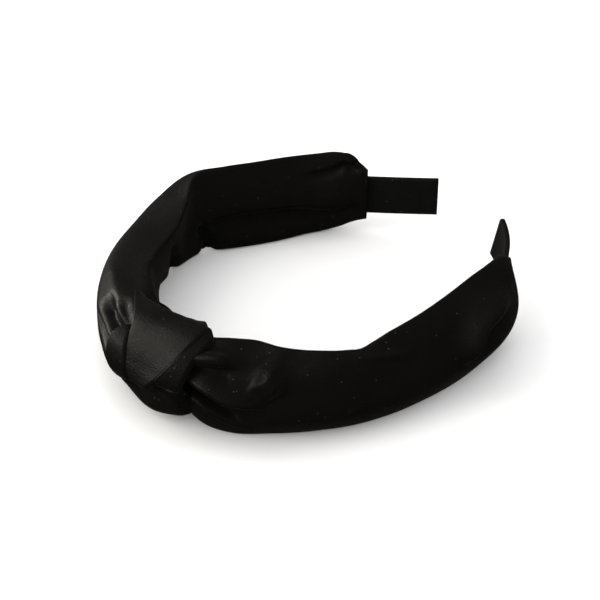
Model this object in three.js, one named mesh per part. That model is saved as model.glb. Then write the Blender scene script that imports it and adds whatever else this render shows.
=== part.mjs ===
// A satin top knot headband, lying on its side.
// Millimetres, +Z up. The hoop is a C in plan: its crown and the knot lie at -Y, its open ends at +Y.
// Each arm of the hoop is followed from the crown by its arc length. "out" is the distance from the hoop's
// middle line away from the head, and heights are above the surface that the headband lies on.

import * as THREE from 'three';

// Rows of values under named columns
function table(columns, ...rows) {
  return rows.map((row) => Object.fromEntries(columns.map((column, i) => [column, row[i]])));
}

// Hoop: a flat strip on edge
const STRIP = { width: 15.4, thickness: 2.0, mid: 16.2, corner: 0.5 };
const CROWN = { x: 1, y: -55.6 };
const HOOP_STEP = 4.0;

// Arcs of each arm, from the crown to the tip: radius, and sweep in degrees
const RIGHT_ARCS = table(
  ['radius', 'sweep'],
  [68, 21.5],
  [46, 50.8],
  [92, 51.9],
  [55, 28],
);
const LEFT_ARCS = table(
  ['radius', 'sweep'],
  [68, 21.5],
  [48.7, 78.8],
  [104, 31.1],
  [-518, -3],
);
// bare: length of the uncovered end. twist: degrees by which the tip's lower edge leans in
const ARMS = {
  right: { side: 1, arcs: RIGHT_ARCS, bare: 26, twist: 11 },
  left: { side: -1, arcs: LEFT_ARCS, bare: 26, twist: 0 },
};

// Sleeves: hollow cloth tubes round the hoop, pinched to it at their mouths
const CLOTH = 1.3;
const BELLY_HEIGHT = 0.36;
const SHOULDER_HEIGHT = 0.8;
const WAIST_HEIGHT = 0.5;
const SLEEVE_STEPS = 30;
const STEP_GROWTH = 1.2;
const OUTER_POINTS = 18;
const INNER_POINTS = 9;
const MITER_LIMIT = 0.6;

// How much further along the right sleeve's upper edge lies, where it leaves the knot
const RIGHT_LEAN = { most: 5, at: 27, reach: 20 };
const LEFT_LEAN = { most: 0, at: 0, reach: 1 };

// Sections of each sleeve. at: arc length from the crown. crest and top: out and height of the upper edge,
// ridge: its half width. shoulder and belly: out of the outer face, high and low. waist: out of the inner
// face. foot and base: out and height of the lower edge, sole: its half width, flat on the surface.
const RIGHT_SECTIONS = table(
  ['at', 'crest', 'ridge', 'top', 'shoulder', 'belly', 'waist', 'foot', 'sole', 'base'],
  [    5,    3, 4.5, 27.2,   12, 14.5, -4.3,   3, 5.3, 6.2],
  [   20,  2.6,   4, 27.3, 11.5,   14, -4.3, 3.2, 5.4, 6.4],
  [   24,  1.4,   3, 28.2, 10.8, 13.7, -4.2,   4, 5.7,   5],
  [   29, -1.5, 1.4, 31.4,  9.6, 13.2, -5.2, 5.2, 4.2, 1.2],
  [   34, -2.5, 0.5,   33,    8,   12, -6.5, 4.6, 2.4,   0],
  [   46, -0.8, 0.4, 32.6,    7, 10.5,   -6, 2.4, 1.6,   0],
  [   60,  1.2, 0.5, 31.8,    7,  9.5, -5.5, 1.2, 1.6,   0],
  [   66,  1.8, 0.8, 30.8,  7.4,  9.5,   -6, 1.6, 1.6,   0],
  [   73,  2.4,   1, 30.2,  7.6,  9.5, -6.5,   2, 1.6,   0],
  [   78,  1.6, 0.8, 31.2,  6.8,  9.5,   -6, 2.1, 1.6,   0],
  [   84,  0.6, 0.6, 32.4,    6,  9.5, -5.5, 2.2, 1.6,   0],
  [   97, -1.6, 0.4, 32.4,    5,  9.5,   -6, 2.2, 1.6,   0],
  [  110, -2.6, 0.4, 32.6,    5,  9.5, -6.5, 2.8, 1.6,   0],
  [  124, -2.4, 0.4, 32.8,  5.8,   11,   -6,   3, 1.8, 0.4],
  [  134, -1.2, 0.6,   32,  6.2, 10.5, -5.2, 2.8, 2.4,   1],
  [  142,    0, 1.2, 30.4,  5.8,  8.6, -4.5, 1.8, 2.8,   3],
  [  147,  0.2, 1.8, 28.4,  4.2,  5.5, -3.7, 0.8, 2.8,   5],
  [150.5,    0, 2.4, 25.7,    3,    3, -3.1,   0, 2.5, 6.7],
);
const LEFT_SECTIONS = table(
  ['at', 'crest', 'ridge', 'top', 'shoulder', 'belly', 'waist', 'foot', 'sole', 'base'],
  [ -4,    3, 4.6, 27.8,   12, 14.5, -4.2,    3,   5, 6.2],
  [  8,  2.8, 4.5,   28, 12.2, 14.5, -4.2,    3,   5, 6.2],
  [ 14,   -1, 2.5, 31.6, 12.5, 15.5,   -6,  3.5, 4.5, 3.2],
  [ 24,   -5,   1,   31, 10.5, 13.2,   -8,  2.5,   3,   0],
  [ 36,   -8, 0.5, 30.5,    8,   11,   -9,    0, 1.6,   0],
  [ 50, -9.5, 0.4,   31,  6.5,   10, -9.5, -1.5, 1.6,   0],
  [ 62,   -8, 0.4,   31,  6.5,  9.5,   -9,   -2, 1.6,   0],
  [ 74, -4.5, 0.4, 31.8,  8.5,  9.5,   -7,   -1, 1.6,   0],
  [ 86,    1, 0.5, 33.2, 10.5,   11, -5.5,    0, 1.6,   0],
  [ 97,  0.8, 0.4, 33.2,    8,    9, -5.5,   -2, 1.6,   0],
  [108,    0, 0.4, 33.2,    6,    9, -5.5,   -3, 1.6,   0],
  [120,  0.5, 0.4, 33.2,    6,    9, -5.5, -2.5, 1.6,   0],
  [131,  1.2, 0.6, 33.2,    6,  8.5, -5.2,    0, 1.6,   0],
  [139,  1.6,   1, 33.2,    6,    8, -4.8,  0.8, 1.8, 1.6],
  [145,  0.8,   2,   31,  4.5,  5.5, -3.8,  0.3, 2.6,   5],
  [150,    0, 2.4, 25.7,    3,    3, -3.1,    0, 2.5, 6.7],
);

// Folds and dents of each sleeve. start and end: reach along the arm. from and to: where it lies round the
// section there, 0 at the foot, 1 at the crest and 2 back at the foot by the inner face.
// depth: outward height of a ridge, below zero for a valley. width: half its breadth round the section.
// knot: true where it runs into the knot at full depth.
const RIGHT_FOLDS = table(
  ['start', 'end', 'from', 'to', 'depth', 'width', 'knot'],
  [ 14,  44, 0.78, 0.72, -1.8,  0.1,  true],
  [ 14,  52, 0.66, 0.42,  1.3,  0.1,  true],
  [ 14,  46, 0.55, 0.38, -1.6, 0.09,  true],
  [ 14,  40, 0.92, 0.96,  0.9, 0.08,  true],
  [ 66,  98, 0.93, 0.64,  0.8, 0.08, false],
  [119, 148, 0.33,  0.3, -2.4, 0.22, false],
);
const LEFT_FOLDS = table(
  ['start', 'end', 'from', 'to', 'depth', 'width', 'knot'],
  [  2,  46, 0.66,  0.7,  1.2, 0.09,  true],
  [  2,  36, 0.76, 0.85, -1.4, 0.09,  true],
  [  2,  32, 0.55,  0.5, -1.4, 0.09,  true],
  [ 74, 147, 1.58,  1.8, -1.5, 0.16, false],
  [110, 148, 1.28,  1.1, -1.5, 0.12, false],
);

// Knot: rolls of cloth wound round the crown, as walls on one barrel form
const KNOT = { out: 4.6, height: 17.5, along: 4, half: 24, sag: 0.13 };
const ROLL_CLOTH = 1.5;
const ARCH_FULLNESS = 0.5;
const NARROWEST = 0.2;
const ROLL_STEP = 12;
const ARCH_STEPS = 10;
// reach: distance of the barrel's surface from its axis, by the turn in degrees from the top outward
const BARREL = table(
  ['turn', 'reach'],
  [  0,   20],
  [ 45, 18.6],
  [ 90,   16],
  [135, 17.8],
  [180, 17.2],
  [225, 16.6],
  [270, 14.7],
  [315, 15.5],
  [340,   17],
  [360,   20],
);

// Rolls of the knot. left and right: edges along the hoop. lift: how far the roll stands off the barrel.
// tuck: how deep its edges turn in.
const WRAP_ROWS = table(
  ['turn', 'left', 'right', 'lift', 'tuck'],
  [  0,   -8, 26.4, -0.3, 3.2],
  [ 20,    2, 25.8,    0, 3.6],
  [ 40,    6,   24,    0, 3.8],
  [ 60,  6.9, 20.8,    0, 3.8],
  [ 90,  7.2,   16,    0, 3.4],
  [120,  7.1, 14.5,    0,   3],
  [150,  5.5, 13.5,    0,   3],
  [180,    2,   14,    0,   3],
  [225,   -4,   18,    0, 2.2],
  [270, -7.5,   22,    0, 1.8],
  [315,   -7, 18.8, -0.8, 1.6],
  [340, -7.6, 23.6,   -1,   2],
  [360,   -8, 26.4, -0.3, 3.2],
);
const LOBE_ROWS = table(
  ['turn', 'left', 'right', 'lift', 'tuck'],
  [ 28,  0.6,  3.3,   -2, 2.4],
  [ 42,   -1,  5.3,   -1, 2.8],
  [ 58, -2.4,  6.2, -0.4,   3],
  [ 75,   -4,  6.6,    0,   3],
  [100,   -5,  6.8,    0,   3],
  [130,   -6,  6.4,    0,   3],
  [160,   -6,    4, -0.4, 2.8],
  [188,   -6, -0.4, -1.2, 2.2],
);
const FOLD_ROWS = table(
  ['turn', 'left', 'right', 'lift', 'tuck'],
  [  2,   27, 29.6, -1.5, 2.6],
  [ 20, 26.4,   29,   -1,   3],
  [ 36,   25, 28.2, -0.8,   3],
  [ 58, 21.7, 26.8, -0.6,   3],
  [ 80,   18,   25, -0.6,   3],
  [110, 15.3,   22, -0.6,   3],
  [140, 14.4, 19.5, -0.7, 2.5],
  [170, 14.8, 18.2, -1.2,   2],
);

const SATIN = { color: 0x0c0b09, roughness: 0.42, metalness: 0.0 };
const RIBBON = { color: 0x0e0d0c, roughness: 0.6, metalness: 0.0 };

// Values of a table's columns at one place, on a smooth curve through its rows
function rowAt(rows, key, place) {
  const last = rows.length - 1;
  let i = 0;
  while (i < last - 1 && rows[i + 1][key] <= place) {
    i += 1;
  }
  const span = rows[i + 1][key] - rows[i][key];
  const t = THREE.MathUtils.clamp((place - rows[i][key]) / span, 0, 1);
  const values = {};
  for (const column of Object.keys(rows[0])) {
    const slope = (j) => {
      const a = Math.max(j - 1, 0);
      const b = Math.min(j + 1, last);
      return (rows[b][column] - rows[a][column]) / (rows[b][key] - rows[a][key]);
    };
    const p = rows[i][column];
    const q = rows[i + 1][column];
    const rise = q - p;
    const m = slope(i) * span;
    const n = slope(i + 1) * span;
    values[column] = p + t * (m + t * (3 * rise - 2 * m - n + t * (m + n - 2 * rise)));
  }
  return values;
}

// Point and heading of an arm's middle line at an arc length from the crown
function armAt(arm, length) {
  let x = 0;
  let y = 0;
  let heading = 0;
  let left = length;
  arm.arcs.forEach((arc, index) => {
    const full = arc.radius * THREE.MathUtils.degToRad(arc.sweep);
    const last = index === arm.arcs.length - 1;
    const run = last ? left : Math.min(left, full);
    const turn = run / arc.radius;
    x += arc.radius * (Math.sin(heading + turn) - Math.sin(heading));
    y += arc.radius * (Math.cos(heading) - Math.cos(heading + turn));
    heading += turn;
    left -= run;
  });
  return { x, y, heading };
}

function armLength(arm) {
  return arm.arcs.reduce((sum, arc) => sum + arc.radius * THREE.MathUtils.degToRad(arc.sweep), 0);
}

// Place in the part's frame of a point given along, out from and above an arm's middle line
function place(arm, along, out, height) {
  const { x, y, heading } = armAt(arm, along);
  const px = x + out * Math.sin(heading);
  const py = y - out * Math.cos(heading);
  return new THREE.Vector3(CROWN.x + arm.side * px, CROWN.y + py, height);
}

// Closed body from rings of equal length. The rings close on themselves when loop is true,
// and the two end rings are closed by strips between mirrored points when it is false.
function ringBody(rings, { loop, mirrored }) {
  const count = rings[0].length;
  const positions = rings.flat().flatMap((p) => [p.x, p.y, p.z]);
  const index = [];
  const quad = (a, b, c, d) => {
    if (mirrored) {
      index.push(a, c, b, a, d, c);
    } else {
      index.push(a, b, c, a, c, d);
    }
  };
  const ringSteps = loop ? rings.length : rings.length - 1;
  for (let i = 0; i < ringSteps; i += 1) {
    const here = i * count;
    const next = ((i + 1) % rings.length) * count;
    for (let j = 0; j < count; j += 1) {
      const k = (j + 1) % count;
      quad(here + j, here + k, next + k, next + j);
    }
  }
  if (!loop) {
    const end = (rings.length - 1) * count;
    for (let j = 0; j < count / 2 - 1; j += 1) {
      const far = count - 1 - j;
      quad(j, far, far - 1, j + 1);
      quad(end + j, end + j + 1, end + far - 1, end + far);
    }
  }
  const geometry = new THREE.BufferGeometry();
  geometry.setAttribute('position', new THREE.Float32BufferAttribute(positions, 3));
  geometry.setIndex(index);
  geometry.computeVertexNormals();
  return geometry;
}

function piece(name, geometry, finish) {
  const mesh = new THREE.Mesh(geometry, new THREE.MeshStandardMaterial(finish));
  mesh.name = name;
  return mesh;
}

// Hoop strip, from the left tip round the crown to the right tip, each bare end turned about its upper edge
function hoop() {
  const halfWidth = STRIP.width / 2;
  const halfThick = STRIP.thickness / 2;
  const corner = STRIP.corner;
  const section = [
    [-halfThick + corner, halfWidth],
    [-halfThick, halfWidth - corner],
    [-halfThick, -halfWidth + corner],
    [-halfThick + corner, -halfWidth],
    [halfThick - corner, -halfWidth],
    [halfThick, -halfWidth + corner],
    [halfThick, halfWidth - corner],
    [halfThick - corner, halfWidth],
  ];
  const ringAt = (arm, along) => {
    const past = Math.max(0, along - armLength(arm) + arm.bare) / arm.bare;
    const turn = THREE.MathUtils.degToRad(arm.twist * past);
    const [c, s] = [Math.cos(turn), Math.sin(turn)];
    return section.map(([out, up]) => {
      const below = halfWidth - up;
      return place(arm, along, out * c - below * s, STRIP.mid + halfWidth - below * c - out * s);
    });
  };
  const stations = (arm) => {
    const steps = Math.round(armLength(arm) / HOOP_STEP);
    return Array.from({ length: steps + 1 }, (_, i) => (armLength(arm) * i) / steps);
  };
  const leftRings = stations(ARMS.left).slice(1).reverse().map((along) => ringAt(ARMS.left, along));
  const rightRings = stations(ARMS.right).map((along) => ringAt(ARMS.right, along));
  return ringBody([...leftRings, ...rightRings], { loop: false, mirrored: true });
}

// Outline of a sleeve's section as points of out and height, outer face first, from the foot to the crest
function sectionOutline(row) {
  const base = Math.max(row.base, 0);
  const up = (share) => base + share * (row.top - base);
  const outer = new THREE.SplineCurve([
    new THREE.Vector2(row.foot + row.sole, base),
    new THREE.Vector2(row.belly, up(BELLY_HEIGHT)),
    new THREE.Vector2(row.shoulder, up(SHOULDER_HEIGHT)),
    new THREE.Vector2(row.crest + row.ridge, row.top),
  ]);
  const inner = new THREE.SplineCurve([
    new THREE.Vector2(row.crest - row.ridge, row.top),
    new THREE.Vector2(row.waist, up(WAIST_HEIGHT)),
    new THREE.Vector2(row.foot - row.sole, base),
  ]);
  const points = [...outer.getPoints(OUTER_POINTS), ...inner.getPoints(INNER_POINTS)];
  return points.map((p) => new THREE.Vector2(p.x, Math.max(p.y, base)));
}

// Height of all folds at one place of a sleeve: along the arm and round the section
function foldHeight(folds, along, round) {
  let height = 0;
  for (const fold of folds) {
    const run = THREE.MathUtils.clamp((along - fold.start) / (fold.end - fold.start), 0, 1);
    const offset = (round - THREE.MathUtils.lerp(fold.from, fold.to, run)) / fold.width;
    const fade = fold.knot ? Math.cos((run * Math.PI) / 2) : Math.sin(run * Math.PI);
    height += fold.depth * fade * Math.max(0, 1 - offset * offset) ** 2;
  }
  return height;
}

// The outline with its folds, each point moved along the outline's outward normal
function foldedOutline(outline, folds, along) {
  const normals = inset(outline, -1);
  return outline.map((p, i) => {
    const round = i <= OUTER_POINTS ? i / OUTER_POINTS : 1 + (i - OUTER_POINTS - 1) / INNER_POINTS;
    return p.clone().lerp(normals[i], foldHeight(folds, along, round));
  });
}

// The same outline drawn in by the cloth's thickness
function inset(outline, depth) {
  const count = outline.length;
  return outline.map((p, i) => {
    const before = outline[(i + count - 1) % count];
    const after = outline[(i + 1) % count];
    const a = p.clone().sub(before).normalize();
    const b = after.clone().sub(p).normalize();
    const inward = new THREE.Vector2(-(a.y + b.y), a.x + b.x).normalize();
    const miter = Math.max(inward.dot(new THREE.Vector2(-a.y, a.x)), MITER_LIMIT);
    return p.clone().addScaledVector(inward, depth / miter);
  });
}

// A sleeve: outer and inner skins joined at the throat and the mouth
function sleeve(arm, sections, folds, lean) {
  const first = sections[0].at;
  const last = sections[sections.length - 1].at;
  const outer = [];
  const inner = [];
  for (let i = 0; i <= SLEEVE_STEPS; i += 1) {
    const along = first + (last - first) * (i / SLEEVE_STEPS) ** STEP_GROWTH;
    const row = rowAt(sections, 'at', along);
    const outline = foldedOutline(sectionOutline(row), folds, along);
    const slant = lean.most * Math.max(0, 1 - ((along - lean.at) / lean.reach) ** 2);
    const spot = (p) => {
      const rise = (p.y - row.base) / (row.top - row.base);
      return place(arm, along + slant * (rise - 0.5), p.x, p.y);
    };
    outer.push(outline.map(spot));
    inner.push(inset(outline, CLOTH).map(spot));
  }
  const rings = [...outer, ...inner.reverse()];
  return ringBody(rings, { loop: true, mirrored: arm.side > 0 });
}

// Distance of the knot's barrel from its axis
function barrelReach(turn, along) {
  const swell = (along - KNOT.along) / KNOT.half;
  return rowAt(BARREL, 'turn', (turn + 360) % 360).reach * (1 - KNOT.sag * swell * swell);
}

// Section of a roll: an arch of cloth with its edges turned in, outer side then inner side
function rollRing(row) {
  const angle = THREE.MathUtils.degToRad(row.turn);
  const middle = (row.left + row.right) / 2;
  const half = (row.right - row.left) / 2;
  const innerHalf = Math.max(half - ROLL_CLOTH, half * NARROWEST);
  const archPoint = (step, width, drop) => {
    const sweep = Math.PI * (1 - step / ARCH_STEPS);
    const across = Math.sign(Math.cos(sweep)) * Math.abs(Math.cos(sweep)) ** ARCH_FULLNESS;
    const height = Math.sin(sweep) ** ARCH_FULLNESS;
    const along = middle + width * across;
    const crown = barrelReach(row.turn, along) + row.lift - row.tuck;
    const reach = crown + (row.tuck - drop) * height;
    const arm = along < 0 ? ARMS.left : ARMS.right;
    const out = KNOT.out + reach * Math.sin(angle);
    return place(arm, Math.abs(along), out, KNOT.height + reach * Math.cos(angle));
  };
  const steps = Array.from({ length: ARCH_STEPS + 1 }, (_, step) => step);
  const outer = steps.map((step) => archPoint(step, half, 0));
  const inner = steps.map((step) => archPoint(step, innerHalf, ROLL_CLOTH)).reverse();
  return [...outer, ...inner];
}

// A roll of the knot through its rows, closed on itself when it goes all the way round
function roll(rows, loop) {
  const start = rows[0].turn;
  const end = rows[rows.length - 1].turn;
  const steps = Math.round((end - start) / ROLL_STEP);
  const rings = [];
  for (let i = 0; i < (loop ? steps : steps + 1); i += 1) {
    rings.push(rollRing(rowAt(rows, 'turn', start + ((end - start) * i) / steps)));
  }
  return ringBody(rings, { loop, mirrored: true });
}

const headband = new THREE.Group();
headband.add(piece('hoop', hoop(), RIBBON));
headband.add(piece('sleeve_right', sleeve(ARMS.right, RIGHT_SECTIONS, RIGHT_FOLDS, RIGHT_LEAN), SATIN));
headband.add(piece('sleeve_left', sleeve(ARMS.left, LEFT_SECTIONS, LEFT_FOLDS, LEFT_LEAN), SATIN));
headband.add(piece('knot_wrap', roll(WRAP_ROWS, true), SATIN));
headband.add(piece('knot_lobe', roll(LOBE_ROWS, false), SATIN));
headband.add(piece('knot_fold', roll(FOLD_ROWS, false), SATIN));

export default headband;
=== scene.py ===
"""A black satin top knot headband lying on its side: cloth sleeves and a wound knot on a slim hoop."""

import math

import bmesh
import bpy
import numpy as np
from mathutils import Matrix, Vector


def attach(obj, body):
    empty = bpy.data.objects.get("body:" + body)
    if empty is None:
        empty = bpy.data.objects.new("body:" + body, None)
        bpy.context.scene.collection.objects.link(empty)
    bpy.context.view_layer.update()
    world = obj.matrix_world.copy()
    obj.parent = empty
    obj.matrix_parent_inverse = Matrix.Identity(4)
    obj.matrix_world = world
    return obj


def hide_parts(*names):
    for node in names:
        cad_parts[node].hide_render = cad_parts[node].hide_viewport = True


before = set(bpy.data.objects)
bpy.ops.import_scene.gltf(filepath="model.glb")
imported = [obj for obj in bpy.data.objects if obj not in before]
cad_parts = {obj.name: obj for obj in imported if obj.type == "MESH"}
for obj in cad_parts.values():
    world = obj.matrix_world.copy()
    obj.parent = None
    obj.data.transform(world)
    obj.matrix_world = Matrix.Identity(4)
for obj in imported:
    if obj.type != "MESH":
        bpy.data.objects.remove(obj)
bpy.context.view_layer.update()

# Lengths below are in millimetres and angles in degrees, and this turns lengths into metres
MM = 0.001


def table(columns, *rows):
    """Rows of values under named columns, as one array for each column."""
    names = columns.split()
    return {name: np.array([row[i] for row in rows], float) for i, name in enumerate(names)}


# The hoop's middle line, as in the frame: arcs (radius, sweep) from the crown to each tip, negative where
# it bends the other way. side: which way the arm goes along X. bare: length of its uncovered end, twist:
# how far the tip's lower edge turns in.
CROWN = (1.0, -55.6)
RIGHT = {"side": 1, "bare": 26.0, "twist": 11.0,
         "arcs": [(68, 21.5), (46, 50.8), (92, 51.9), (55, 28)]}
LEFT = {"side": -1, "bare": 26.0, "twist": 0.0,
        "arcs": [(68, 21.5), (48.7, 78.8), (104, 31.1), (-518, -3)]}

# The hoop's strip: mid is the height of its middle, round the radius of its corners
STRIP = {"width": 15.4, "thickness": 2.0, "mid": 16.2, "round": 0.7}

# Grid of the hoop: rings on each arm, points of each corner, and the step of its UV map
HOOP_RINGS = 120
CORNER_POINTS = 6
HOOP_UV_STEP = 1.5

# Grid of each sleeve: steps between rings up to each arc length, closer at sharp creases, and points round
RIGHT_RINGS = [(50, 0.46), (104, 1.15), (136, 0.5), (150.5, 0.9)]
LEFT_RINGS = [(58, 0.46), (150, 0.86)]
SLEEVE_POINTS = 200

# How much further along the arm a sleeve's upper edge lies than its lower edge: most at one arc length,
# and less over a reach on both sides. The left sleeve stands straight.
RIGHT_LEAN = {"most": 5.0, "at": 27.0, "reach": 20.0}
LEFT_LEAN = {"most": 0.0, "at": 0.0, "reach": 1.0}

# Sections of each sleeve, close to those of the frame and a little fuller beside the knot. at: arc length
# from the crown. crest and top: out and height of the upper edge, ridge: its half width. shoulder and
# belly: out of the outer face. waist: out of the inner face. foot and base: out and height of the lower
# edge, sole: its half width on the floor.
SECTION_COLUMNS = "at crest ridge top shoulder belly waist foot sole base"
RIGHT_SECTIONS = table(
    SECTION_COLUMNS,
    (5, 3, 4.5, 27.2, 9, 13, -4.3, 3, 5.3, 6.2),
    (17, 3.4, 1.6, 32, 10, 12.6, -4.3, 3.2, 5.4, 6.2),
    (22.5, 3.4, 1.2, 33.2, 10.6, 12.9, -4.6, 4, 5.6, 5),
    (29, 0.8, 0.8, 33.8, 11.4, 13.2, -5.4, 5, 4.2, 1.6),
    (37, -2.1, 0.5, 33, 9.8, 12.2, -6.5, 4.6, 2.4, 0),
    (46, -0.8, 0.4, 32.6, 7, 10.5, -6, 2.4, 1.6, 0),
    (60, 1.2, 0.5, 31.8, 7, 9.5, -5.5, 1.2, 1.6, 0),
    (66, 1.8, 0.8, 30.8, 7.4, 9.5, -6, 1.6, 1.6, 0),
    (73, 2.4, 1, 30.2, 7.6, 9.5, -6.5, 2, 1.6, 0),
    (78, 1.6, 0.8, 31.2, 6.8, 9.5, -6, 2.1, 1.6, 0),
    (84, 0.6, 0.6, 32.4, 6, 9.5, -5.5, 2.2, 1.6, 0),
    (97, -1.6, 0.4, 32.4, 5, 9.5, -6, 2.2, 1.6, 0),
    (110, -2.6, 0.4, 32.6, 5, 9.5, -6.5, 2.8, 1.6, 0),
    (124, -2.4, 0.4, 32.8, 5.8, 11, -6, 3, 1.8, 0.4),
    (134, -1.2, 0.6, 32, 6.2, 10.5, -5.2, 2.8, 2.4, 1),
    (142, 0, 1.2, 30.4, 5.8, 8.6, -4.5, 1.8, 2.8, 3),
    (147, 0.2, 1.8, 28.4, 4.2, 5.5, -3.7, 0.8, 2.8, 5),
    (150.5, 0, 2.4, 25.7, 3, 3, -3.1, 0, 2.5, 6.7),
)
LEFT_SECTIONS = table(
    SECTION_COLUMNS,
    (-4, 2.4, 3.6, 28, 13, 19, -4.2, 3.6, 9.4, 5.6),
    (4, 1, 2.4, 29.6, 13.2, 18.8, -4.6, 3.6, 8.6, 4.6),
    (12, -1.4, 1.6, 31.2, 12.6, 16.4, -6, 3.4, 5.2, 2.6),
    (24, -5, 1, 31, 10.5, 13.2, -8, 2.5, 3, 0),
    (36, -9.5, 0.5, 30, 8, 11, -9.5, 0, 1.6, 0),
    (50, -12.5, 0.4, 29.6, 6.5, 10, -10, -1.5, 1.6, 0),
    (62, -12, 0.4, 29.6, 6.5, 9.5, -9.5, -2, 1.6, 0),
    (74, -7.6, 0.4, 31, 8.5, 9.5, -7.5, -1, 1.6, 0),
    (86, 1, 0.5, 33.2, 10.5, 11, -5.5, 0, 1.6, 0),
    (97, 0.8, 0.4, 33.2, 8, 9, -5.5, -2, 1.6, 0),
    (108, 0, 0.4, 33.2, 6, 9, -5.5, -3, 1.6, 0),
    (120, 0.5, 0.4, 33.2, 6, 9, -5.5, -2.5, 1.6, 0),
    (131, 1.2, 0.6, 33.2, 6, 8.5, -5.2, 0, 1.6, 0),
    (139, 1.6, 1, 33.2, 6, 8, -4.8, 0.8, 1.8, 1.6),
    (145, 0.8, 2, 31, 4.5, 5.5, -3.8, 0.3, 2.6, 5),
    (150, 0, 2.4, 25.7, 3, 3, -3.1, 0, 2.5, 6.7),
)

# Outline of a section: shares of its height at which the faces' middle points lie, steps of the curve of
# each face, gap in the places round at each edge, and how far the edges are softened
BELLY_HEIGHT = 0.36
SHOULDER_HEIGHT = 0.8
WAIST_HEIGHT = 0.5
FACE_STEPS = 60
EDGE_GAP = 0.005
EDGE_SOFTNESS = 0.9

# Creases of the sleeves. path: points (arc length, place round the section: 0 foot, 1 crest, 2 foot by
# the inner face). The high side lies toward greater places round on a path away from the knot, and toward
# smaller ones on a path to it. rise: height of the fold along the path, or depth where it is negative.
# edge and slope: its breadth on the low side and on the high side. trough: depth of the valley on the low
# side, breadth: its half width. lap: how far the fold leans over the valley. ends: share of full height
# at the path's start and end.
CREASE_COLUMNS = "rise edge slope trough breadth lap ends path"
RIGHT_CREASES = [
    # Lip of the flap beside the knot
    (1.8, 0.5, 5, 4.6, 2.4, 0.6, (1, 0),
     [(14, 0.53), (18, 0.57), (22.5, 0.61), (25.2, 0.65), (28, 0.68), (31.2, 0.7), (33.5, 0.715),
      (38, 0.715)]),
    # Wide soft dent further along
    (0.8, 4, 8, 5, 5, 0, (0, 0),
     [(53.2, 0.62), (51.6, 0.69), (50.2, 0.76), (48.6, 0.83), (46.6, 0.9)]),
    # Large fold that comes from under the knot
    (1.4, 0.5, 6, 5.8, 3.0, 1.4, (0.5, 0),
     [(12, 0.44), (21.1, 0.455), (24.3, 0.475), (28.5, 0.485), (33.5, 0.455), (39.5, 0.417), (45, 0.4)]),
    # Full roll below it
    (3.2, 2.2, 6, 0.6, 1.2, 0.8, (0, 1),
     [(42, 0.2), (39, 0.26), (36.3, 0.3), (33.1, 0.345), (29.8, 0.385), (25.7, 0.41), (21.6, 0.41),
      (12, 0.4)]),
    # Shallow crease up to the crest, halfway along
    (0.35, 0.5, 4, 0.9, 1.6, 0.3, (0, 1),
     [(90, 0.65), (85.5, 0.704), (79.5, 0.798), (74.3, 0.915), (72.5, 0.99)]),
    # Pocket before the mouth
    (0.8, 0.5, 4, 7.4, 4, 0.9, (0, 0.1),
     [(108, 0.3), (109.5, 0.35), (111.5, 0.428), (113.4, 0.474), (116, 0.508), (121.6, 0.525), (128, 0.52),
      (134, 0.495)]),
]
LEFT_CREASES = [
    # Ridges and valleys that fan out of the knot
    (0.9, 2.4, 3.0, 0, 1, 0, (0.6, 0),
     [(12, 0.752), (15.8, 0.767), (20.8, 0.768), (26.8, 0.763), (31.9, 0.732), (38.3, 0.69)]),
    (0.6, 3.4, 3.0, 0, 1, 0, (1, 0),
     [(8, 0.86), (14, 0.85), (20, 0.83), (27, 0.8)]),
    (-3.4, 2.8, 2.4, 0, 1, 0, (1, 0),
     [(2, 0.665), (5.7, 0.667), (8.9, 0.665), (12.1, 0.677), (14.9, 0.686), (19, 0.695)]),
    (0.8, 1.6, 1.8, 0, 1, 0, (1, 0),
     [(1, 0.722), (5.2, 0.722), (8, 0.718), (11.2, 0.721), (15, 0.735)]),
    (-0.9, 1.6, 1.8, 0, 1, 0, (1, 0),
     [(2, 0.76), (4.7, 0.77), (6.6, 0.785), (9.3, 0.8), (12, 0.82)]),
    (1.0, 0.5, 4, 1.8, 2.0, 0.5, (1, 0),
     [(2, 0.53), (7.5, 0.549), (10.7, 0.562), (13.9, 0.562), (19.5, 0.548), (23.1, 0.545), (28, 0.545)]),
    # Long hollow of the inner face, and the swell below it
    (-3.2, 3, 3.4, 0, 1, 0, (0.3, 0.4),
     [(83.8, 1.593), (96.7, 1.608), (108.7, 1.637), (120.8, 1.651), (132.8, 1.706), (145, 1.74)]),
    (1.0, 4, 4, 0, 1, 0, (0.4, 0),
     [(88, 1.8), (104, 1.86), (124, 1.83)]),
    # Small fold from the crest at the mouth
    (0.4, 0.8, 4, 1.6, 2, 0.8, (1, 0),
     [(145, 0.99), (140.6, 1.08), (137.1, 1.153), (131.1, 1.187), (123, 1.23)]),
    # Two hollows up the inner face
    (-2.4, 2.2, 2.2, 0, 1, 0, (1, 0),
     [(87.5, 2), (87.2, 1.81), (85.5, 1.716), (83.8, 1.593), (81.2, 1.455)]),
    (-2.4, 2.2, 2.2, 0, 1, 0, (1, 0),
     [(69, 1.95), (66.6, 1.748), (62.3, 1.577), (58, 1.407), (54, 1.246)]),
]

# A crease moves rings within CREASE_REACH of its path. It grows from its ends over FADE_SHARE of the path
# and dies out over END_FADE beyond them. It takes hold as the cloth faces the way of the path, between two
# cosines, and as it lies less far under the path, between two depths.
CREASE_SAMPLES = 140
PATH_PASSES = 6
CREASE_REACH = 14.0
FADE_SHARE = 0.35
END_FADE = 2.5
FACING = (0.1, 0.5)
SUNK = (-8.0, -5.0)

# A valley's middle lies past the fold's edge by a share of its half width. A fold leans over within a
# share of its edge and a little more, and stops softly at the edge.
VALLEY_SHARE = 0.8
LAP_SHARE = 0.5
LAP_MORE = 0.6
LAP_SOFTNESS = 0.9

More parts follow.
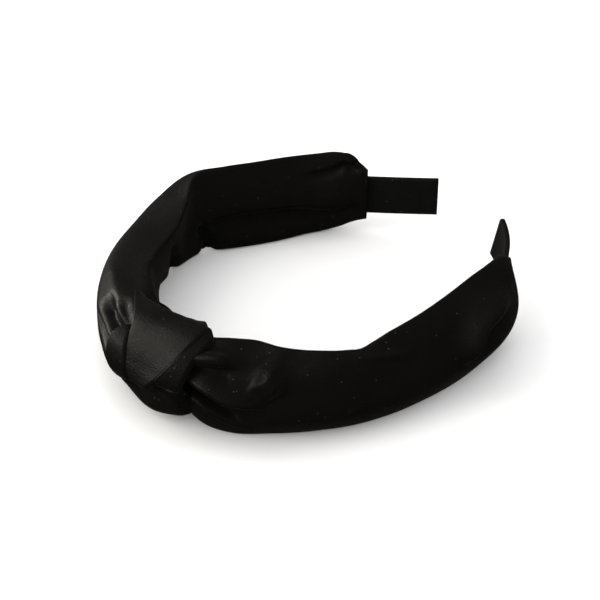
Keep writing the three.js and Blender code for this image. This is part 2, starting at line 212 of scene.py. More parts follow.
# Knot: turns of cloth on one barrel form round the crown. out and height: place of its axis. along and
# half: its middle and half length, sag: share of its reach that it loses at the half length. tilt_from:
# where its tilt starts. turn: angle from the top outward. reach: out from the axis. tilt: rise along.
KNOT = {"out": 4.6, "height": 17.5, "along": 4, "half": 24, "sag": 0.13, "tilt_from": 14}
KNOT_AXIS = np.linspace(-10, 30, 41)
BARREL = table(
    "turn reach tilt",
    (-90, 14.7, 0),
    (-45, 15.9, 0.26),
    (-20, 17.6, 0.24),
    (0, 20, 0.1),
    (45, 18.6, 0),
    (90, 16, 0),
    (135, 17.8, 0),
    (180, 17.2, 0),
    (225, 16.6, 0),
    (270, 14.7, 0),
    (315, 15.9, 0.26),
    (340, 17.6, 0.24),
    (360, 20, 0.1),
    (405, 18.6, 0),
)

# Corner of the knot that stands up where the cloth comes over from the far arm, and fine ripples there
HORN = {"turn": -45, "spread": 30, "along": -9.5, "breadth": 3.6, "height": 6.0}
RIPPLE = {"turn": -48, "spread": 26, "pitch": 6, "height": 0.45}

# Turns of the knot. left and right: edges along the hoop. lift: height off the barrel. left_drop and
# right_drop: how deep each edge turns in, left_round and right_round: over what breadth. dish: how deep
# the middle sinks between the edges.
ROLL_COLUMNS = "turn left right lift left_drop left_round right_drop right_round dish"
WRAP_ROWS = table(
    ROLL_COLUMNS,
    (0, -9, 26, -0.4, 2.2, 1, 4.4, 2, 0),
    (22, 1.4, 24.8, 0.2, 2.4, 0.9, 2.8, 1.7, 0.5),
    (45, 4.7, 22.2, -0.2, 2.4, 0.9, 2.8, 1.5, 0.9),
    (62, 6.2, 19.9, 0.3, 2.4, 0.9, 2.8, 1.5, 0.9),
    (77, 7.3, 17.6, 1.5, 2.4, 1.2, 2.8, 1.8, 0.7),
    (86, 8, 16, 1.6, 2.4, 1.6, 2.8, 2, 0.3),
    (95, 8.8, 14.6, -0.6, 2.4, 2, 3, 2.4, 0),
    (108, 8.8, 14, -4.8, 2, 2, 2.5, 2.4, 0),
    (130, 7, 14, -5, 2, 2, 2.5, 2.4, 0),
    (155, 5, 13.5, -2, 2, 2, 2.5, 2.4, 0),
    (180, 2, 14, -0.5, 2, 2, 2, 2, 0),
    (225, -4, 16, 0, 1.8, 1.6, 2, 2, 0),
    (270, -6.5, 17, 0, 1.6, 1.4, 3, 1.8, 0),
    (315, -7.5, 18, -0.8, 1.4, 1.2, 5, 2.6, 0),
    (340, -9.6, 22, -1, 1.8, 1.2, 5.6, 2.6, 0),
    (360, -9, 26, -0.4, 2.2, 1, 4.4, 2, 0),
)
LOBE_ROWS = table(
    ROLL_COLUMNS,
    (30, 2.6, 4.6, -3, 2, 1, 2, 1.3, 0),
    (40, 0.8, 5.2, -0.8, 4, 1, 2, 1.5, 0),
    (52, -0.2, 6.2, 0.4, 6, 1, 2, 1.5, 0),
    (66, -0.2, 7.2, 1.1, 7.4, 1.1, 2, 1.5, 0),
    (80, 0, 8, 1.5, 8, 1.4, 2.4, 1.5, 0),
    (94, 0.2, 8, 0.6, 7.4, 2, 3, 2, 0),
    (108, 0.8, 7.6, -1.6, 5.6, 2.6, 2.6, 2, 0),
    (122, -0.4, 7, -5, 2.6, 2.6, 2.2, 2, 0),
)
FOLD_ROWS = table(
    ROLL_COLUMNS,
    (-30, 18.6, 21.6, -2.6, 1.4, 0.6, 1.6, 1.2, 0),
    (-14, 21.6, 24.6, -1.4, 1.8, 0.5, 2.2, 0.9, 0),
    (0, 24.6, 27.4, -0.9, 2, 0.5, 2.2, 0.9, 0),
    (20, 23.8, 27.2, -0.2, 2, 0.5, 2.2, 0.9, 0),
    (36, 22, 26.1, 0.3, 2, 0.5, 2, 0.7, 0),
    (58, 19.3, 25.2, 0.9, 2, 0.5, 2, 0.7, 0),
    (74, 16.8, 24, 0.7, 2, 0.5, 2, 0.8, 0),
    (86, 15.6, 22.8, -2.4, 2, 0.6, 2.2, 1.2, 0),
    (96, 15.2, 22, -5, 2, 0.6, 2.2, 1.4, 0),
    (114, 15, 20.6, -6.5, 2, 0.8, 2.2, 2, 0),
)
UNDER_ROWS = table(
    ROLL_COLUMNS,
    (66, 8, 18, -7, 2, 1.5, 2, 1.5, 0),
    (78, 4.6, 22, -4, 2.4, 0.8, 2.6, 2.4, 1),
    (88, 3, 23.4, -1.6, 2.4, 0.8, 4, 4, 1.5),
    (98, 0.6, 23.4, -1.8, 2.6, 1, 4.4, 4, 2),
    (112, -0.8, 23.2, -2.4, 2.8, 1.4, 4.4, 4, 1.8),
    (128, -1.4, 22.6, -2.5, 2.8, 1.6, 4.4, 4, -0.4),
    (143, -2.4, 23.2, -2.1, 2.8, 1.8, 4.4, 4, -2.0),
    (156, -2.4, 22, -1.7, 2.4, 2, 3, 2.6, -1.6),
    (180, -3, 20, -0.4, 2, 2, 2.4, 2, 0),
    (205, -3, 14, -2.2, 2, 2, 2, 2, 0),
)

# How much higher the right edge of each turn lies than its left edge
ROLL_LEAN = {"knot_wrap_cloth": 1.2, "knot_lobe_cloth": -1.8,
             "knot_fold_cloth": -0.8, "knot_under_cloth": 0}

# Grid of each turn. UNDER_TUCK: share of its drop by which an edge goes deeper where it runs back under.
TURN_STEP = 2.0
ACROSS_POINTS = {"under": 10, "edge": 20, "face": 60}
UNDER_TUCK = 0.3
LOWEST_TURN = 0.3

# Thickness of the cloth, how far out the middle of a sleeve lies, and how many faces show which way is out
CLOTH = 0.7
SLEEVE_MIDDLE = 2.0
FACE_SAMPLE = 400

# Cloth looks. dark and light: tones of the threads. threads: how many lie on a metre. bump: their relief.
SATIN = {"dark": (0.0024, 0.0022, 0.0018, 1), "light": (0.0042, 0.0039, 0.0033, 1),
         "roughness": 0.42, "threads": 2600, "bump": 0.6}
RIBBON = {"dark": (0.0026, 0.0025, 0.0022, 1), "light": (0.0042, 0.004, 0.0037, 1),
          "roughness": 0.6, "threads": 1800, "bump": 0.3}
GLOSS = {"Specular IOR Level": 0.2, "Sheen Weight": 0.02, "Sheen Roughness": 0.35,
         "Sheen Tint": (1.0, 0.95, 0.86, 1), "Anisotropic": 0.3}

# Threads are drawn out along the cloth. Noise of the threads, of the rough patches and of the grain, by
# scale, detail and roughness. Patches change the roughness where their noise lies between two values.
THREAD_STRETCH = 0.12
THREAD_NOISE = (1.0, 2.0, 0.6)
PATCH_NOISE = (90.0, 3.0, 0.55)
PATCH_RANGE = (0.3, 0.7)
PATCH_CHANGE = (-0.05, 0.07)
GRAIN_NOISE = (1500.0, 1.0, 0.5)
THREAD_SHARE = 0.4
RELIEF = 0.2

# Lint: cells along a metre with a speck in each, its colour, and where it starts and ends to fade, in cells
LINT_SCALE = 300.0
LINT = (0.06, 0.057, 0.05, 1)
LINT_FADE = (0.046, 0.068)

# Soft boxes, placed from the view's target: to the right of the view, toward the camera, and up, with
# their power in watts
LIGHTS = [
    {"name": "left_back", "right": -920, "toward": -440, "up": 215, "power": 5.0},
    {"name": "left_front", "right": -820, "toward": 320, "up": 380, "power": 2.6},
    {"name": "left_high", "right": -600, "toward": 0, "up": 900, "power": 1.4},
]
BOX_SIZE = 420
WARM = (1.0, 0.95, 0.87)
WHITE = (1, 1, 1)
OVERHEAD = {"up": 1500, "size": 2600, "power": 8}
WORLD_STRENGTH = 1.15

# Floor: half its side, its tone and roughness, and how far it lies under the cloth
FLOOR = {"half": 4000, "tone": 0.9, "roughness": 0.8, "under": 0.2}

# View of the photograph
VIEW = {"azimuth": 53.3, "elevation": 36.3, "distance": 599.4, "target": (11.14, -6.88, 18.0),
        "lens": 106.1, "sensor": 36, "near": 10}


def ramp(value, start, end):
    """From 0 at the start to 1 at the end, level at both."""
    share = np.clip((value - start) / (end - start), 0, 1)
    return share * share * (3 - 2 * share)


def running(steps):
    """Where each step starts, when the steps follow one another from 0."""
    return np.concatenate([[0], np.cumsum(steps)[:-1]])


def unit(vectors):
    """Rows of vectors, each made one long."""
    return vectors / np.linalg.norm(vectors, axis=-1, keepdims=True)


def row_at(rows, key, spots):
    """A table's columns at the spots given, on smooth curves through its rows."""
    keys = rows[key]
    count = len(keys)
    i = np.clip(np.searchsorted(keys, spots, side="right") - 1, 0, count - 2)
    span = keys[i + 1] - keys[i]
    t = np.clip((spots - keys[i]) / span, 0, 1)
    before = np.maximum(np.arange(count) - 1, 0)
    after = np.minimum(np.arange(count) + 1, count - 1)
    values = {}
    for name, column in rows.items():
        slope = (column[after] - column[before]) / (keys[after] - keys[before])
        rise = column[i + 1] - column[i]
        leave = slope[i] * span
        arrive = slope[i + 1] * span
        bend = 3 * rise - 2 * leave - arrive
        values[name] = column[i] + t * (leave + t * (bend + t * (leave + arrive - 2 * rise)))
    return values


def arm_length(arm):
    """Length of an arm's middle line from the crown to its tip."""
    return sum(radius * math.radians(sweep) for radius, sweep in arm["arcs"])


def on_arm(arm, along, out, height):
    """Points given along, out from and above an arm's middle line, in the part's frame."""
    radius = np.array([arc[0] for arc in arm["arcs"]], float)
    sweep = np.radians([arc[1] for arc in arm["arcs"]])
    start = running(radius * sweep)
    heading = running(sweep)
    start_x = running(radius * (np.sin(heading + sweep) - np.sin(heading)))
    start_y = running(radius * (np.cos(heading) - np.cos(heading + sweep)))
    along, out, height = np.broadcast_arrays(along, out, height)
    i = np.clip(np.searchsorted(start, along, side="right") - 1, 0, len(start) - 1)
    angle = heading[i] + (along - start[i]) / radius[i]
    x = start_x[i] + radius[i] * (np.sin(angle) - np.sin(heading[i])) + out * np.sin(angle)
    y = start_y[i] + radius[i] * (np.cos(heading[i]) - np.cos(angle)) - out * np.cos(angle)
    return np.stack([CROWN[0] + arm["side"] * x, CROWN[1] + y, height], axis=-1)


def smooth_curve(points, count):
    """Points along a curve through the control points, each of which may be an array of rows."""
    points = [np.asarray(point, float) for point in points]
    last = len(points) - 1
    result = []
    for step in range(count + 1):
        at = step / count * last
        i = min(int(at), last - 1)
        t = at - i
        start = points[i]
        end = points[i + 1]
        leave = (end - points[max(i - 1, 0)]) / 2
        arrive = (points[min(i + 2, last)] - start) / 2
        result.append((2 * t**3 - 3 * t**2 + 1) * start + (t**3 - 2 * t**2 + t) * leave
                      + (3 * t**2 - 2 * t**3) * end + (t**3 - t**2) * arrive)
    return np.stack(result, axis=-2)


def blur_round(values, sigma):
    """Closed rows of points, softened along the row by a bell of sigma steps."""
    reach = int(math.ceil(3 * sigma))
    offsets = np.arange(-reach, reach + 1)
    weights = np.exp(-0.5 * (offsets / sigma) ** 2)
    weights /= weights.sum()
    return sum(weight * np.roll(values, offset, axis=1) for weight, offset in zip(weights, offsets))


def blur_path(values):
    """A path with its small steps evened out, ends kept."""
    values = values.copy()
    for _ in range(PATH_PASSES):
        values[1:-1] = (values[:-2] + 2 * values[1:-1] + values[2:]) / 4
    return values


def section_rings(sections, along):
    """Outlines of a sleeve's sections by arc length, the place round of their points, and the columns."""
    row = row_at(sections, "at", along)
    base = np.maximum(row["base"], 0)

    def point(out, share):
        return np.stack([out, base + share * (row["top"] - base)], axis=-1)

    outer = smooth_curve([
        point(row["foot"] + row["sole"], 0),
        point(row["belly"], BELLY_HEIGHT),
        point(row["shoulder"], SHOULDER_HEIGHT),
        point(row["crest"] + row["ridge"], 1),
    ], FACE_STEPS)
    inner = smooth_curve([
        point(row["crest"] - row["ridge"], 1),
        point(row["waist"], WAIST_HEIGHT),
        point(row["foot"] - row["sole"], 0),
    ], FACE_STEPS)
    outline = np.concatenate([outer, inner, outer[:, :1]], axis=1)
    outline[..., 1] = np.maximum(outline[..., 1], base[:, None])
    outer_marks = np.linspace(0, 1 - EDGE_GAP, FACE_STEPS + 1)
    inner_marks = np.linspace(1 + EDGE_GAP, 2 - EDGE_GAP, FACE_STEPS + 1)
    return outline, np.concatenate([outer_marks, inner_marks, [2.0]]), row


def ring_places(start, rings):
    """Arc lengths of a sleeve's rings from its start, with the steps given."""
    places = []
    for until, step in rings:
        places.append(np.linspace(start, until, round((until - start) / step), endpoint=False))
        start = until
    return np.concatenate([*places, [start]])


def sleeve_grid(arm, sections, lean, rings):
    """Rings of a sleeve's points before its creases, their arc lengths, places round, and mean girth."""
    along = ring_places(sections["at"][0], rings)
    outline, marks, row = section_rings(sections, along)
    flat = np.zeros((len(along), SLEEVE_POINTS, 2))
    where = np.zeros((len(along), SLEEVE_POINTS))
    for i, ring in enumerate(outline):
        run = np.concatenate([[0], np.cumsum(np.linalg.norm(np.diff(ring, axis=0), axis=1))])
        at = np.linspace(0, run[-1], SLEEVE_POINTS, endpoint=False)
        flat[i, :, 0] = np.interp(at, run, ring[:, 0])
        flat[i, :, 1] = np.interp(at, run, ring[:, 1])
        where[i] = np.interp(at, run, marks)
    girth = np.linalg.norm(np.diff(flat, axis=1), axis=2).sum(axis=1).mean()
    flat = blur_round(flat, EDGE_SOFTNESS / girth * SLEEVE_POINTS)
    slant = lean["most"] * np.maximum(0, 1 - ((along - lean["at"]) / lean["reach"]) ** 2)
    rise = (flat[..., 1] - row["base"][:, None]) / (row["top"] - row["base"])[:, None]
    points = on_arm(arm, along[:, None] + slant[:, None] * (rise - 0.5), flat[..., 0], flat[..., 1])
    return points, along, where, girth


def ring_normals(points):
    """Normals of a grid of points whose rows close on themselves."""
    along = np.gradient(points, axis=0)
    across = np.roll(points, -1, axis=1) - np.roll(points, 1, axis=1)
    return unit(np.cross(across, along))


def nearest_samples(points, path):
    """For each point, the number of the path's sample that lies nearest."""
    nearest = np.zeros(len(points), int)
    best = np.full(len(points), np.inf)
    for k, sample in enumerate(path):
        distance = ((points - sample) ** 2).sum(axis=1)
        closer = distance < best
        best[closer] = distance[closer]
        nearest[closer] = k
    return nearest


def crease(points, normals, path, path_normals, row, hand):
    """Points with one fold raised along a path, and with its valley on the low side."""
    tangent = unit(np.gradient(path, axis=0))
    side = unit(hand * np.cross(path_normals, tangent))
    nearest = nearest_samples(points, path)
    away = points - path[nearest]
    offset = (away * side[nearest]).sum(axis=1)
    past = (away * tangent[nearest]).sum(axis=1)
    sunk = (away * path_normals[nearest]).sum(axis=1)
    facing = (normals * path_normals[nearest]).sum(axis=1)

    last = len(path) - 1
    run = nearest / last
    start, end = row["ends"]
    from_start = start + (1 - start) * ramp(run, 0, FADE_SHARE)
    from_end = end + (1 - end) * ramp(1 - run, 0, FADE_SHARE)
    beyond = np.where((nearest == 0) | (nearest == last), np.abs(past), 0)
    fade = np.where(run < 0.5, from_start, from_end) * np.exp(-((beyond / END_FADE) ** 2))
    fade = fade * ramp(facing, *FACING) * ramp(sunk, *SUNK)

    fold = row["rise"] * np.exp(-((offset / np.where(offset > 0, row["slope"], row["edge"])) ** 2))
    middle = -(row["edge"] + VALLEY_SHARE * row["breadth"])
    valley = row["trough"] * np.exp(-(((offset - middle) / row["breadth"]) ** 2))
    lean = row["lap"] * np.exp(-((offset / (LAP_SHARE * row["edge"] + LAP_MORE)) ** 2))
    lean = lean * ramp(offset + row["edge"], -LAP_SOFTNESS / 2, LAP_SOFTNESS / 2)
    return points + normals * ((fold - valley) * fade)[:, None] - side[nearest] * (lean * fade)[:, None]


def surface_at(values, where, ring, place_round):
    """Values of a closed grid at places between its rings and points."""
    result = np.zeros((len(ring), values.shape[2]))
    for k, (at, mark) in enumerate(zip(ring, place_round)):
        i = min(int(at), len(values) - 2)
        share = at - i
        for row, weight in ((i, 1 - share), (i + 1, share)):
            columns = [np.interp(mark, where[row], values[row, :, axis]) for axis in range(3)]
            result[k] += weight * np.array(columns)
    return result


def crease_sleeve(arm, points, along, where, creases):
    """Applies a sleeve's creases, one after another, to its grid of points."""
    base = points.copy()
    normals = ring_normals(base)
    for values in creases:
        row = dict(zip(CREASE_COLUMNS.split(), values))
        spots = smooth_curve(row["path"], CREASE_SAMPLES)
        ring = np.interp(spots[:, 0], along, np.arange(len(along)))
        path = blur_path(surface_at(base, where, ring, spots[:, 1]))
        path_normals = unit(blur_path(surface_at(normals, where, ring, spots[:, 1])))
        near = np.abs(along - np.clip(along, spots[:, 0].min(), spots[:, 0].max())) < CREASE_REACH
        shape = points[near].shape
        moved = crease(points[near].reshape(-1, 3), normals[near].reshape(-1, 3), path, path_normals,
                       row, arm["side"])
        points[near] = moved.reshape(shape)


def mesh_piece(name, points, closed_across, closed_along, uv, material):
    """Mesh from a grid of points in millimetres, with smooth shading and a UV map in metres."""
    rows, columns = points.shape[:2]
    faces = []
    corners = []
    for i in range(rows if closed_along else rows - 1):
        for j in range(columns if closed_across else columns - 1):
            k = (i + 1) % rows
            m = (j + 1) % columns
            faces.append((i * columns + j, i * columns + m, k * columns + m, k * columns + j))
            corners.extend([uv(i, j), uv(i, j + 1), uv(i + 1, j + 1), uv(i + 1, j)])
    mesh = bpy.data.meshes.new(name)
    mesh.from_pydata((points.reshape(-1, 3) * MM).tolist(), [], faces)
    layer = mesh.uv_layers.new(name="weave")
    layer.data.foreach_set("uv", np.array(corners, np.float32).ravel())
    mesh.polygons.foreach_set("use_smooth", [True] * len(faces))
    mesh.update()
    mesh.materials.append(material)
    piece = bpy.data.objects.new(name, mesh)
    bpy.context.scene.collection.objects.link(piece)
    return piece


def face_outward(piece, centre_line):
    """Turns the faces of a mesh so that they look away from the nearest points of a line inside it."""
    mesh = piece.data
    sample = list(mesh.polygons)[:: max(1, len(mesh.polygons) // FACE_SAMPLE)]
    centre = np.array([face.center for face in sample])
    normal = np.array([face.normal for face in sample])
    line = np.asarray(centre_line) * MM
    nearest = line[np.argmin(((centre[:, None] - line[None]) ** 2).sum(axis=2), axis=1)]
    if ((centre - nearest) * normal).sum() < 0:
        mesh.flip_normals()


def thicken(piece):
    """Gives a sheet the thickness of the cloth, on its inner side."""
    solid = piece.modifiers.new("cloth", "SOLIDIFY")
    solid.thickness = CLOTH * MM
    solid.offset = -1


def sleeve(name, arm, sections, lean, rings, creases, material):
    """One cloth sleeve round an arm of the hoop."""
    points, along, where, girth = sleeve_grid(arm, sections, lean, rings)
    crease_sleeve(arm, points, along, where, creases)
    points[..., 2] = np.maximum(points[..., 2], 0)
    piece = mesh_piece(name, points, True, False,
                       lambda i, j: (along[i] * MM, j * girth / SLEEVE_POINTS * MM), material)
    face_outward(piece, on_arm(arm, along, SLEEVE_MIDDLE, STRIP["mid"]))
    thicken(piece)
    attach(piece, "root")
    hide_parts(name.replace("_cloth", ""))


def barrel_place(along, turn, reach):
    """Points on the knot: along the hoop, at a turn from the top outward, and off the knot's axis."""
    angle = np.radians(turn)
    out = KNOT["out"] + reach * np.sin(angle)
    height = KNOT["height"] + reach * np.cos(angle)
    right = on_arm(RIGHT, np.abs(along), out, height)
    left = on_arm(LEFT, np.abs(along), out, height)
    return np.where((along < 0)[..., None], left, right)


def near_turn(turn, feature):
    """Share of a feature of the knot that is left at each turn, round its own."""
    aside = (turn - feature["turn"] + 180) % 360 - 180
    return np.exp(-((aside / feature["spread"]) ** 2))


def barrel_reach(along, turn):
    """How far the knot's barrel form reaches from its axis, with its horn and ripples."""
    form = row_at(BARREL, "turn", turn)
    swell = (along - KNOT["along"]) / KNOT["half"]
    reach = form["reach"] * (1 - KNOT["sag"] * swell**2) + form["tilt"] * (along - KNOT["tilt_from"])
    horn = np.exp(-(((along - HORN["along"]) / HORN["breadth"]) ** 2)) * near_turn(turn, HORN)
    ripple = np.cos(2 * math.pi * along / RIPPLE["pitch"]) * near_turn(turn, RIPPLE)
    return reach + HORN["height"] * horn + RIPPLE["height"] * ripple


def roll_grid(rows, loop, lean):
    """Grid of points of one turn of the knot: rings by the turn, points across from edge to edge."""
    start, end = rows["turn"][0], rows["turn"][-1]
    steps = int(round((end - start) / TURN_STEP))
    count = steps if loop else steps + 1
    turn = np.linspace(start, end, count, endpoint=not loop)[:, None]
    row = row_at(rows, "turn", turn)
    quarter = np.linspace(0, math.pi / 2, ACROSS_POINTS["edge"], endpoint=False)[None]
    under = np.linspace(1, 0, ACROSS_POINTS["under"], endpoint=False)[None]
    face = np.linspace(0, 1, ACROSS_POINTS["face"])[None]
    inward = 1 - np.cos(quarter)
    down = 1 - np.sin(quarter)
    left_face = row["left"] + row["left_round"]
    right_face = row["right"] - row["right_round"]
    along = np.concatenate([
        row["left"] + under * row["left_round"],
        row["left"] + inward * row["left_round"],
        left_face + face * (right_face - left_face),
        (row["right"] - inward * row["right_round"])[:, ::-1],
        (row["right"] - under * row["right_round"])[:, ::-1],
    ], axis=1)
    drop = np.concatenate([
        row["left_drop"] * (1 + UNDER_TUCK * under),
        row["left_drop"] * down,
        np.zeros((count, ACROSS_POINTS["face"])),
        (row["right_drop"] * down)[:, ::-1],
        (row["right_drop"] * (1 + UNDER_TUCK * under))[:, ::-1],
    ], axis=1)
    share = np.clip((along - row["left"]) / (row["right"] - row["left"]), 0, 1)
    dish = row["dish"] * np.sin(math.pi * share) ** 2
    reach = barrel_reach(along, turn) + row["lift"] + lean * (share - 0.5) - drop - dish
    return barrel_place(along, turn, reach)


def roll(name, rows, loop, stands_for, material):
    """One turn of the knot, which replaces the node that it stands for."""
    points = roll_grid(rows, loop, ROLL_LEAN[name])
    points[..., 2] = np.maximum(points[..., 2], LOWEST_TURN)
    girth = np.linalg.norm(np.diff(points, axis=1), axis=2).sum(axis=1).mean()
    length = np.linalg.norm(np.diff(points, axis=0), axis=2).sum(axis=0).mean()
    rings, columns = points.shape[:2]
    piece = mesh_piece(name, points, False, loop,
                       lambda i, j: (j * girth / columns * MM, i * length / rings * MM), material)
    face_outward(piece, barrel_place(KNOT_AXIS, 0, 0))
    thicken(piece)
    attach(piece, "root")
    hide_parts(stands_for)


def strip_section():
    """Outline of the hoop's strip with its rounded corners: out, and height from its middle."""
    out = STRIP["thickness"] / 2 - STRIP["round"]
    up = STRIP["width"] / 2 - STRIP["round"]
    corner = np.linspace(0, math.pi / 2, CORNER_POINTS)
    points = []
    for quarter, centre in enumerate([(out, up), (-out, up), (-out, -up), (out, -up)]):
        angle = corner + quarter * math.pi / 2
        points.append(centre + STRIP["round"] * np.stack([np.cos(angle), np.sin(angle)], axis=1))
    return np.concatenate(points)


def hoop(material):
    """The flat hoop from the left tip to the right tip, closed at both."""
    section = strip_section()
    half = STRIP["width"] / 2
    below = half - section[:, 1]
    rings = []
    for arm in (LEFT, RIGHT):
        length = arm_length(arm)
        along = np.linspace(0, length, HOOP_RINGS)[:, None]
        lean = np.radians(arm["twist"]) * np.maximum(0, along - length + arm["bare"]) / arm["bare"]
        out = section[:, 0] * np.cos(lean) - below * np.sin(lean)
        height = STRIP["mid"] + half - below * np.cos(lean) - section[:, 0] * np.sin(lean)
        rings.append(on_arm(arm, along, out, height))
    left, right = rings
    points = np.concatenate([left[::-1], right[1:]])
    piece = mesh_piece("hoop_ribbon", points, True, False,
                       lambda i, j: (i * HOOP_UV_STEP * MM, j * HOOP_UV_STEP * MM), material)
    count = len(section)
    shell = bmesh.new()
    shell.from_mesh(piece.data)
    vertices = list(shell.verts)
    shell.faces.new(vertices[:count])
    shell.faces.new(vertices[-count:][::-1])
    bmesh.ops.recalc_face_normals(shell, faces=shell.faces)
    shell.to_mesh(piece.data)
    shell.free()
    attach(piece, "root")
    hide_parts("hoop")


def node(tree, kind, **inputs):
    """A new node with the inputs given, their names written with underscores."""
    made = tree.nodes.new(kind)
    for name, value in inputs.items():
        made.inputs[name.replace("_", " ")].default_value = value
    return made


def noise(tree, vector, values):
    """Noise over a vector, by its scale, detail and roughness."""
    scale, detail, roughness = values
    made = node(tree, "ShaderNodeTexNoise", Scale=scale, Detail=detail, Roughness=roughness)
    tree.links.new(vector, made.inputs["Vector"])
    return made.outputs["Fac"]


def carried(tree, value, source, result):
    """A value carried from one range to another and held at its ends."""
    made = node(tree, "ShaderNodeMapRange", From_Min=source[0], From_Max=source[1],
                To_Min=result[0], To_Max=result[1])
    tree.links.new(value, made.inputs["Value"])
    return made.outputs["Result"]


def colour_mix(tree, share):
    """A mix of two colours by a share that another node gives."""
    mix = tree.nodes.new("ShaderNodeMix")
    mix.data_type = "RGBA"
    tree.links.new(share, mix.inputs["Factor"])
    return mix


def cloth_material(name, look):
    """Near-black cloth: fine threads, soft sheen, patches of roughness, and a little lint."""
    material = bpy.data.materials.new(name)
    material.use_nodes = True
    tree = material.node_tree
    link = tree.links.new
    shader = tree.nodes["Principled BSDF"]
    for socket, value in GLOSS.items():
        shader.inputs[socket].default_value = value
    spot = node(tree, "ShaderNodeTexCoord").outputs["Object"]

    uv = node(tree, "ShaderNodeUVMap")
    uv.uv_map = "weave"
    threads = look["threads"]
    stretch = node(tree, "ShaderNodeMapping", Scale=(threads * THREAD_STRETCH, threads, threads))
    link(uv.outputs["UV"], stretch.inputs["Vector"])
    thread = noise(tree, stretch.outputs["Vector"], THREAD_NOISE)
    tone = colour_mix(tree, thread)
    tone.inputs["A"].default_value = look["dark"]
    tone.inputs["B"].default_value = look["light"]

    lint = node(tree, "ShaderNodeTexVoronoi", Scale=LINT_SCALE)
    link(spot, lint.inputs["Vector"])
    linted = colour_mix(tree, carried(tree, lint.outputs["Distance"], LINT_FADE, (1.0, 0.0)))
    link(tone.outputs["Result"], linted.inputs["A"])
    linted.inputs["B"].default_value = LINT
    link(linted.outputs["Result"], shader.inputs["Base Color"])

    rough = [look["roughness"] + change for change in PATCH_CHANGE]
    link(carried(tree, noise(tree, spot, PATCH_NOISE), PATCH_RANGE, rough), shader.inputs["Roughness"])

    height = tree.nodes.new("ShaderNodeMath")
    height.operation = "MULTIPLY_ADD"
    link(thread, height.inputs[0])
    height.inputs[1].default_value = THREAD_SHARE
    link(noise(tree, spot, GRAIN_NOISE), height.inputs[2])
    relief = node(tree, "ShaderNodeBump", Strength=look["bump"], Distance=RELIEF * MM)
    link(height.outputs["Value"], relief.inputs["Height"])
    link(relief.outputs["Normal"], shader.inputs["Normal"])
    return material


def area_light(name, spot, aim, size, power, colour):
    """A square light at a spot, turned to what it aims at."""
    data = bpy.data.lights.new(name, "AREA")
    data.shape = "RECTANGLE"
    data.size = size * MM
    data.size_y = size * MM
    data.energy = power
    data.color = colour
    light = bpy.data.objects.new(name, data)
    light.location = spot * MM
    light.rotation_euler = (aim - spot).to_track_quat("-Z", "Y").to_euler()
    bpy.context.scene.collection.objects.link(light)
    return light


def pale_floor():
    """Pale floor that takes the shadows and neither shows in the cloth nor lights it."""
    half = FLOOR["half"] * MM
    mesh = bpy.data.meshes.new("floor")
    mesh.from_pydata([(-half, -half, 0), (half, -half, 0), (half, half, 0), (-half, half, 0)], [],
                     [(0, 1, 2, 3)])
    floor = bpy.data.objects.new("floor", mesh)
    bpy.context.scene.collection.objects.link(floor)
    pale = bpy.data.materials.new("pale_floor")
    pale.use_nodes = True
    shader = pale.node_tree.nodes["Principled BSDF"]
    shader.inputs["Base Color"].default_value = (FLOOR["tone"], FLOOR["tone"], FLOOR["tone"], 1)
    shader.inputs["Roughness"].default_value = FLOOR["roughness"]
    mesh.materials.append(pale)
    floor.location.z = -FLOOR["under"] * MM
    floor.visible_glossy = False
    floor.visible_diffuse = False


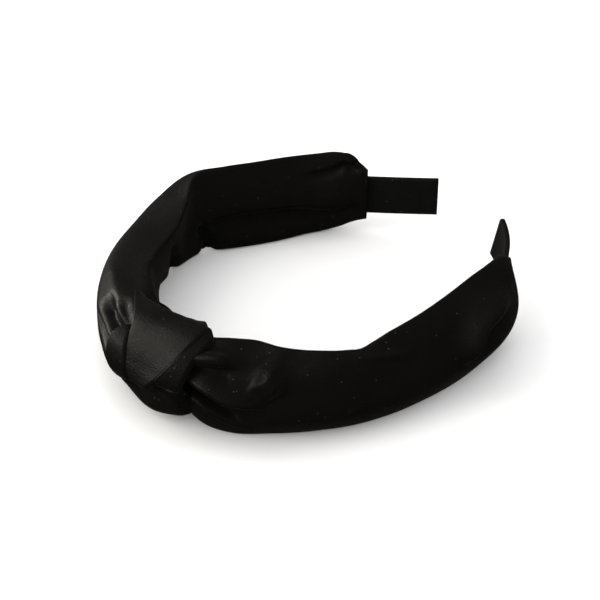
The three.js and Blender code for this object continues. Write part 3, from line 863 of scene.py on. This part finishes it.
def soft_light(target, right, level):
    """Even light from the world and from above, and soft boxes that alone show in reflections."""
    world = bpy.data.worlds.new("soft_world")
    world.use_nodes = True
    tree = world.node_tree
    background = tree.nodes["Background"]
    background.inputs["Color"].default_value = (*WHITE, 1)
    # The strength is even, but comes from a direction, since only such a world is sampled as a light
    direction = node(tree, "ShaderNodeTexCoord").outputs["Generated"]
    strength = carried(tree, direction, (-1.0, 1.0), (WORLD_STRENGTH, WORLD_STRENGTH))
    tree.links.new(strength, background.inputs["Strength"])
    bpy.context.scene.world = world
    world.cycles_visibility.glossy = False
    for light in LIGHTS:
        spot = target + right * light["right"] + level * light["toward"] + Vector((0, 0, light["up"]))
        area_light(light["name"], spot, target, BOX_SIZE, light["power"], WARM)
    overhead = area_light("overhead", Vector((0, 0, OVERHEAD["up"])), Vector((0, 0, 0)), OVERHEAD["size"],
                          OVERHEAD["power"], WHITE)
    overhead.visible_glossy = False


def stage():
    """Pale floor, soft light and the photograph's view."""
    scene = bpy.context.scene
    scene.view_settings.view_transform = "Standard"
    pale_floor()
    azimuth = math.radians(VIEW["azimuth"])
    elevation = math.radians(VIEW["elevation"])
    target = Vector(VIEW["target"])
    right = Vector((math.cos(azimuth), math.sin(azimuth), 0))
    level = Vector((math.sin(azimuth), -math.cos(azimuth), 0))
    back = level * math.cos(elevation) + Vector((0, 0, math.sin(elevation)))
    soft_light(target, right, level)

    data = bpy.data.cameras.new("camera")
    data.lens = VIEW["lens"]
    data.sensor_width = VIEW["sensor"]
    data.clip_start = VIEW["near"] * MM
    camera = bpy.data.objects.new("camera", data)
    camera.location = (target + back * VIEW["distance"]) * MM
    camera.rotation_euler = (-back).to_track_quat("-Z", "Y").to_euler()
    scene.collection.objects.link(camera)
    scene.camera = camera


satin = cloth_material("satin", SATIN)
ribbon = cloth_material("ribbon", RIBBON)
stage()
hoop(ribbon)
sleeve("sleeve_right_cloth", RIGHT, RIGHT_SECTIONS, RIGHT_LEAN, RIGHT_RINGS, RIGHT_CREASES, satin)
sleeve("sleeve_left_cloth", LEFT, LEFT_SECTIONS, LEFT_LEAN, LEFT_RINGS, LEFT_CREASES, satin)
roll("knot_wrap_cloth", WRAP_ROWS, True, "knot_wrap", satin)
roll("knot_lobe_cloth", LOBE_ROWS, False, "knot_lobe", satin)
roll("knot_fold_cloth", FOLD_ROWS, False, "knot_fold", satin)
roll("knot_under_cloth", UNDER_ROWS, False, "knot_wrap", satin)
